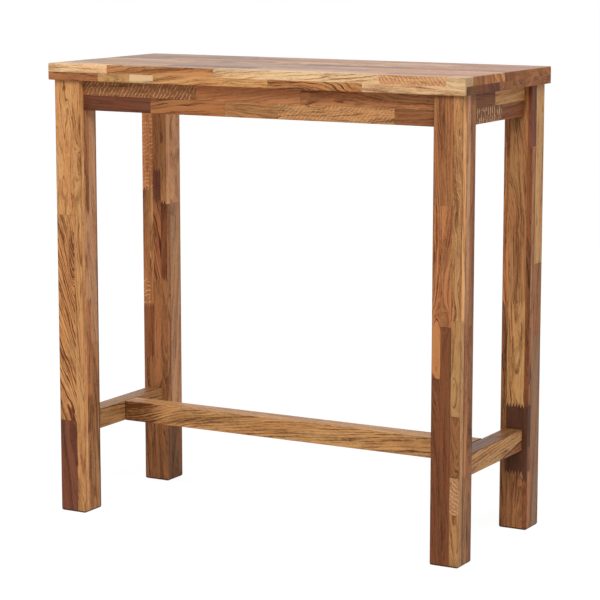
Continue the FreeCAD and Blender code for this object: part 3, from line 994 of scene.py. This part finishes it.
front_left = [
    Strip((-539, -490), (-224, -178), [
        ("plum", 226), ("slant", 732, 0.06, {"ring_width": 7.0, "behind": 60}),
        ("contour", 1060, -0.06, {"ring_width": 6.5})],
        knot=(640, -496, 13), knot_shape=(0.4, 6)),
    Strip((-539, -490), (-178, -154), [("chestnut", 380), ("tan", 1060)]),
    Strip((-490, -469), (-224, -220), [("tan", 1060, -0.18)],
          knot=(862, -466, 14), knot_shape=(0.4, 3)),
    Strip((-490, -469), (-220, -207), [("tan", 1060, 0.08)]),
    Strip((-490, -469), (-207, -187), [
        ("amber", 200, -0.15), ("umber", 290), ("chestnut", 530, 0.12), ("grey", 740, 0.1),
        ("chestnut", 1060, 0.1)]),
    Strip((-490, -469), (-187, -159), [("amber", 420, -0.2), ("grey", 1060, 0.05)]),
    Strip((-490, -469), (-159, -154), [("plum", 620, -0.2), ("chestnut", 1060, -0.2)]),
]
front_right = [
    Strip((469, 491), (-224, -181), [
        ("walnut", 427, -0.2), ("copper", 815, -0.1), ("chestnut", 1060, -0.2)],
        knot=(500, 472, 16), knot_shape=(-0.6, 5)),
    Strip((491, 517), (-224, -181), [
        ("walnut", 545, -0.2), ("chestnut", 815), ("chestnut", 1060, -0.2)],
        knot=(560, 505, 8), knot_shape=(0.2, 3)),
    Strip((469, 517), (-181, -154), [("umber", 600), ("tan", 1060)]),
    Strip((517, 539), (-224, -219), [
        ("tan", 120, -0.39), ("fleck", 205, -0.26, {"rays": 0.6}),
        ("umber", 345, -0.05, arch(420, aside=8)), ("honey", 560, -0.39), ("wavy", 1060, -0.25)],
        knot=(402, 524, 7), knot_shape=(-0.5, 5)),
    Strip((517, 539), (-219, -203), [
        ("honey", 205, -0.25), ("honey", 560, -0.2), ("honey", 1060, 0.3)]),
    Strip((517, 539), (-203, -198), [("walnut", 560), ("amber", 1060, 0.08)]),
    Strip((517, 539), (-198, -181), [
        ("amber", 205, -0.3), ("copper", 560, -0.05), ("grey", 1060, 0.08)]),
    Strip((517, 539), (-181, -154), [("chestnut", 545, -0.25), ("chestnut", 1060, -0.2)]),
]

# %% Lay out the back legs
chevron = {"rays": -0.35}
back_right = [
    Strip((469, 484), (154, 224), [("umber", 545), ("copper", 1060)]),
    Strip((484, 529), (154, 177), [
        ("umber", 139, 0.05, arch(-80)), ("ebony", 302),
        ("lined", 549, -0.1, arch(860, slope=0.03, ring_width=3.4)),
        ("amber", 1060, -0.3, arch(560, aside=16))]),
    Strip((484, 529), (177, 224), [("umber", 620), ("tan", 1060)]),
    Strip((529, 539), (154, 159), [
        ("walnut", 120), ("ebony", 300, 0.1), ("walnut", 915, -0.02), ("plum", 1060)]),
    Strip((529, 539), (159, 172), [
        ("chestnut", 140), ("walnut", 200), ("ebony", 300, 0.1), ("umber", 530, 0.2),
        ("amber", 915, -0.15), ("plum", 1060, -0.15)]),
    Strip((529, 539), (172, 178), [
        ("chestnut", 530, 0.1), ("umber", 915, 0.1), ("plum", 1060, -0.15)]),
    Strip((529, 539), (178, 224), [
        ("grey", 464, -0.42), ("copper", 636, -0.26), ("honey", 1060, -0.14)]),
]
# The top boards (tone 1.35) are pale chevron wood, made brighter still as painted light against
# shade
back_left = [
    Strip((-539, -518), (154, 224), [
        ("umber", 325, 0.2, arch(-80, aside=-12)), ("walnut", 460, 0.1),
        ("ray", 530, 0.3, chevron), ("chestnut", 760, 0.12), ("ray", 1060, 1.35, chevron)]),
    Strip((-518, -514), (154, 224), [
        ("umber", 325, 0.2, arch(-80, aside=-26)), ("walnut", 460), ("chestnut", 580),
        ("honey", 700), ("copper", 800), ("ray", 1060, 1.35, chevron)]),
    Strip((-514, -507), (154, 224), [
        ("umber", 325, 0.2, arch(-80, aside=-30)), ("walnut", 460), ("copper", 560),
        ("honey", 765), ("ray", 1060, 1.35, chevron)]),
    Strip((-507, -484), (154, 190), [
        ("umber", 325, 0.22, arch(-80)), ("chestnut", 530), ("raked", 730, -0.05),
        ("plum", 810), ("chestnut", 1060, 0.15)]),
    Strip((-484, -469), (154, 158), [("umber", 530, 0.1), ("walnut", 728), ("amber", 1060)]),
    Strip((-484, -469), (158, 175), [
        ("umber", 150, -0.2), ("umber", 728, 0.4), ("grey", 1060, 0.7)]),
    Strip((-507, -469), (175, 224), [
        ("umber", 150, -0.2), ("grey", 728, 0.05), ("grey", 1060, 0.76)]),
]

# %% Glue up the legs
for node, strips, fingers in (
    ("leg_front_left", front_left, Y), ("leg_front_right", front_right, Y),
    ("leg_back_right", back_right, X), ("leg_back_left", back_left, X),
):
    shape = glue_up(leg_shape(node), node, Z, strips, fingers)
    finish_piece(shape, node.replace("leg_", "glued_leg_"), node, oiled[Z])

# %% [markdown]
# ## The aprons
#
# Four boards on edge tie the legs together under the top, each glued from two narrow strips.
# Their inner faces have saw kerfs for the brackets and short slots for the wooden cleats.
# Nobody sees those from in front, but a look from below finds them. Insets could draw them on
# a face, but a boolean with plain boxes is exact and reads like the list of cuts that it is.

# %% Shape the aprons
arris = 0.0012
arris_steps = 2
bracket_steel = 0.002
kerf_clearance = 0.0002
kerf_width = bracket_steel + kerf_clearance * 2
kerf_depth = 0.009
slot_length = 0.044
slot_height = 0.0086
slot_depth = 0.0095
slot_bottom = 1.0397
cleat_shares = {X: (-0.32, 0.0, 0.32), Y: (0.0,)}
overrun = 0.01


def crosswise(grain):
    """The level axis across a level piece."""
    return Y if grain == X else X


def pocket(grain, length, depth, height, place, inner, level):
    """A cutter of a length, depth and height, which enters through a piece's inner face."""
    size, centre = Vector(), Vector()
    size[grain], size[crosswise(grain)], size.z = length, depth * 2, height
    centre[grain], centre[crosswise(grain)], centre.z = place, inner, level
    return plank(centre - size / 2, centre + size / 2)


def apron_shape(node, grain):
    """An apron, with the kerfs and slots of its inner face."""
    low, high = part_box(node)
    across = crosswise(grain)
    shape = plank(low, high)
    lower = [edge for edge in edges_at(shape, Z, low.z) if along_axis(edge, grain)]
    ease(shape, lower, arris, arris_steps)
    inner = high[across] if low[across] < 0 else low[across]
    kerf_place = abs(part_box("corner_bracket_front_left")[1][grain]) + bracket_steel / 2
    kerfs = [pocket(grain, kerf_width, kerf_depth, high.z - low.z + overrun,
                    sign * kerf_place, inner, (low.z + high.z) / 2) for sign in (-1, 1)]
    slots = [pocket(grain, slot_length, slot_depth, slot_height,
                    share * (high[grain] - low[grain]), inner, slot_bottom + slot_height / 2)
             for share in cleat_shares[grain]]
    return route(shape, kerfs + slots)


# %% Glue up the aprons
def level_strips(node, grain, step, lower, upper, **knots):
    """Two strips of a level piece, one on the other, which meet at a height. Knots go below."""
    low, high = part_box(node)
    across = crosswise(grain)
    width = (low[across] * mm, high[across] * mm)
    return [Strip(width, (low.z * mm, step), lower, **knots),
            Strip(width, (step, high.z * mm), upper)]


apron_boards = {
    "apron_front": (
        X, [("plum", -281, -0.22), ("copper", -77, -0.23), ("amber", 64, -0.28),
            ("combed", 362, -0.18, {"rays": -0.9}), ("chestnut", 469, -0.36)],
        [("ray", -155, -0.06, {"rays": -0.62}), ("plain", 123, -0.13), ("chestnut", 469, 0.06)]),
    "apron_back": (
        X, spare("back lower", -469, 469, mixed), spare("back upper", -469, 469, mixed)),
    "apron_right": (
        Y, [("splash", 25, 0.0, {"rays": 0.1}), ("walnut", 154, 0.16)],
        [("walnut", -11, 0.05), ("honey", 154, -0.02)]),
    "apron_left": (Y, [("tan", -40), ("umber", 154)], [("honey", 20), ("copper", 154)]),
}
for node, (grain, lower, upper) in apron_boards.items():
    low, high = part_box(node)
    strips = level_strips(node, grain, (low.z + high.z) / 2 * mm, lower, upper)
    shape = glue_up(apron_shape(node, grain), node, grain, strips, crosswise(grain))
    finish_piece(shape, node.replace("apron_", "glued_apron_"), node, oiled[grain])

# %% [markdown]
# ## The rails and the stretcher
#
# Two side rails join the legs near the floor, and one long stretcher joins the rails.
# They are golden wood with long dark lines, and their top faces are a thin strip of another tone.
# Their ends are very slightly bevelled, and painted shadow with a little dirt draws a joint's
# line.
# The right rail also has a slanted seam of heartwood. A pattern of nodes could draw it, but its
# place would be hard to steer, so two slanting saw cuts mark the faces that it shows on.

# %% Shape the rails and the stretcher
rail_round = 0.0015
rail_steps = 3
end_bevel = 0.002


def rail_shape(node, grain):
    """A rail whose ends are bevelled first, so that the rounds of its long edges go over them."""
    low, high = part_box(node)
    shape = plank(low, high)
    ends = edges_at(shape, grain, low[grain]) + edges_at(shape, grain, high[grain])
    ease(shape, ends, end_bevel, 1)
    ease(shape, long_edges(shape, grain), rail_round, rail_steps)
    return shape


# %% Cut the slanted seam of the right rail
seam_start, seam_end = Vector((0, 36, 195)), Vector((0, 154, 217))
seam_thickness = 3.6


def slanted_seam(shape, seam_kind, under_kind):
    """A line of dark heartwood that climbs along a rail, with another wood under it."""
    run = (seam_end - seam_start).normalized()
    upward = Vector((0, -run.z, run.y))
    foot = seam_start / mm
    for rise in (0.0, seam_thickness / mm):
        bmesh.ops.bisect_plane(
            shape, geom=shape.faces[:] + shape.edges[:] + shape.verts[:], dist=1e-6,
            plane_co=foot + upward * rise, plane_no=upward)
    board = shape.faces.layers.float_vector["board"]
    for face in shape.faces:
        height = (face.calc_center_median() - foot).dot(upward) * mm
        if height < seam_thickness:
            kind = kind_place[under_kind if height < 0 else seam_kind]
            face[board] = Vector((kind, kind, face[board].z))


# %% Make the rails and the stretcher
top_strip = 1.6
rail_boards = {
    "side_rail_left": (Y, [("lined", 154, -0.2)], [("lined", 154, -0.25)], {}),
    "side_rail_right": (Y, [("lined", 154)], [("copper", 70, -0.6), ("amber", 154, -0.48)], {}),
    "long_stretcher": (X, [("lined", 481.5, -0.03, {"ring_width": 4.0})],
                       [("lined", 481.5, 0.1, {"ring_width": 4.0})],
                       {"knot": (-500, 0, 70), "knot_shape": (0.8, 2.2)}),
}
for node, (grain, body, top, knots) in rail_boards.items():
    strips = level_strips(node, grain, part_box(node)[1].z * mm - top_strip, body, top, **knots)
    shape = glue_up(rail_shape(node, grain), node, grain, strips, crosswise(grain), dark_ends=True)
    if node == "side_rail_right":
        slanted_seam(shape, "ebony", "copper")
    finish_piece(shape, "glued_" + node, node, oiled[grain])

# %% [markdown]
# ## Steel and small wood
#
# The brackets, bolts, nuts and screws could be modelled again, but their CAD shapes are right, so
# they stay and only get real finishes. Zinc plate is bright but never even: it clouds where it
# was handled and shows fine roll marks. The cleats and dowels are plain pale beech, sawn and left
# without oil.

# %% Zinc and steel
cloud_grey, worn_grey = srgb(158, 160, 160), srgb(112, 108, 102)
cloud_size, wear_size = (14, 14, 14), (3, 3, 3)
wear_share, cloud_rough, wear_rough = 0.35, 0.14, 0.12
mark_stretch, mark_depth, mark_strength = 9, 0.00004, 0.5


def zinc_plate(name, tone, roughness, mark):
    """Plated steel with cloudy patches and fine upright marks of a width in millimetres."""
    plate = Finish(bpy.data.materials.new(name))
    place = plate.place()
    cloud = plate.noise(place, cloud_size, 3)
    marks = plate.noise(place, (mark, mark, mark * mark_stretch))
    wear = plate.noise(place, wear_size, 4, 0.7).rise(0.55, 0.75)
    colour = plate.blend(cloud.rise(0.35, 0.7), tone, cloud_grey)
    colour = plate.blend(wear * wear_share, colour, worn_grey)
    return plate.surface(
        Base_Color=colour,
        Metallic=1.0,
        Roughness=roughness + cloud * cloud_rough + wear * wear_rough,
        Normal=plate.bump(marks, mark_depth, mark_strength),
    )


finishes = {
    "bracket_steel": zinc_plate("bracket_zinc", srgb(196, 198, 200), 0.30, 0.8),
    "zinc_hardware": zinc_plate("bolt_zinc", srgb(206, 208, 210), 0.24, 0.5),
    "screw_steel": zinc_plate("screw_zinc", srgb(202, 200, 192), 0.26, 0.4),
}
print(len(finishes), "finishes of plated steel")

# %% Plain beech
beech_rings, beech_fleck = (60, 3, 3), (2.5, 0.5, 0.5)
fleck_brown = srgb(150, 104, 66)
fleck_share, fleck_depth, fleck_strength = 0.5, 0.00008, 0.5
beech_roughness, fleck_rough = 0.62, 0.15


def plain_beech(name, pale, dark, grain):
    """Unoiled beech, with short dark flecks along its grain."""
    beech = Finish(bpy.data.materials.new(name))
    there = beech.place()
    place = [there[axis] for axis in (grain, *sides_of(grain))]
    rings = beech.noise(place, beech_rings)
    fleck = beech.noise(place, beech_fleck, 0).rise(0.6, 0.72)
    colour = beech.blend(rings.rise(0.3, 0.7), pale, dark)
    colour = beech.blend(fleck * fleck_share, colour, fleck_brown)
    return beech.surface(
        Base_Color=colour,
        Roughness=beech_roughness + fleck * fleck_rough,
        Normal=beech.bump(fleck * -1, fleck_depth, fleck_strength),
    )


finishes["cleat_wood"] = plain_beech("cleat_beech", srgb(214, 178, 132), srgb(186, 144, 98), Y)
finishes["dowel_beech"] = plain_beech("dowel_beech", srgb(222, 190, 148), srgb(196, 158, 112), X)

# %% Dress the small CAD nodes
dressed = {
    "bracket_steel": ["corner_bracket_front_left", "corner_bracket_front_right",
                      "corner_bracket_back_left", "corner_bracket_back_right"],
    "zinc_hardware": ["hanger_bolts", "bolt_washers", "bolt_nuts"],
    "screw_steel": ["bracket_screws", "cleat_screws"],
    "cleat_wood": ["top_cleats"],
    "dowel_beech": ["apron_dowels", "rail_dowels", "stretcher_dowels"],
}
for slot, nodes in dressed.items():
    for node in nodes:
        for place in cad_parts[node].material_slots:
            place.material = finishes[slot]
    print(slot, "on", len(nodes), "nodes")
